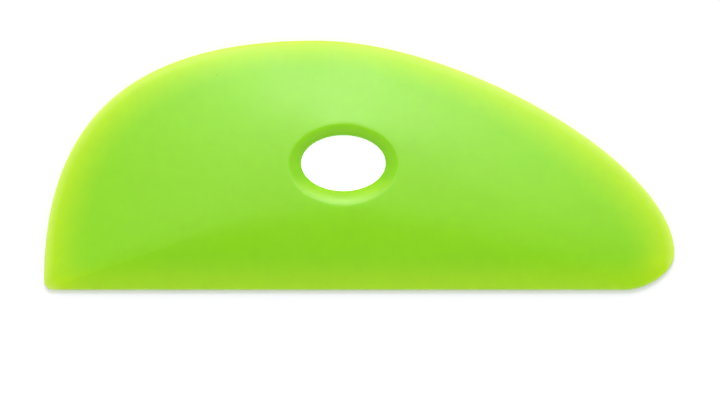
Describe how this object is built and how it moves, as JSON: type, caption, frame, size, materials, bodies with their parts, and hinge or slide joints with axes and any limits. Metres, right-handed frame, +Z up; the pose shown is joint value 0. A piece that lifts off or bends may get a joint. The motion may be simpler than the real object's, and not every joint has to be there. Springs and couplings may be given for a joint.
{
  "type": "pottery rib",
  "caption": "Flexible rubber pottery rib: a half-moon hand scraper with a straight edge, a long curved edge, a rounded nose and an oval finger hole.",
  "frame": {"origin": "middle of the outline's box, on the flat back", "axes": "+X along the straight edge from the heel to the nose, +Y from the straight edge to the curved edge, +Z up out of the domed front face"},
  "size_m": [0.127, 0.0502, 0.0063],
  "materials": {
    "green_rubber": "satin, slightly translucent cast urethane rubber, yellower where it is thin"
  },
  "bodies": {
    "root": {"rib": "green_rubber"}
  },
  "joints": []
}
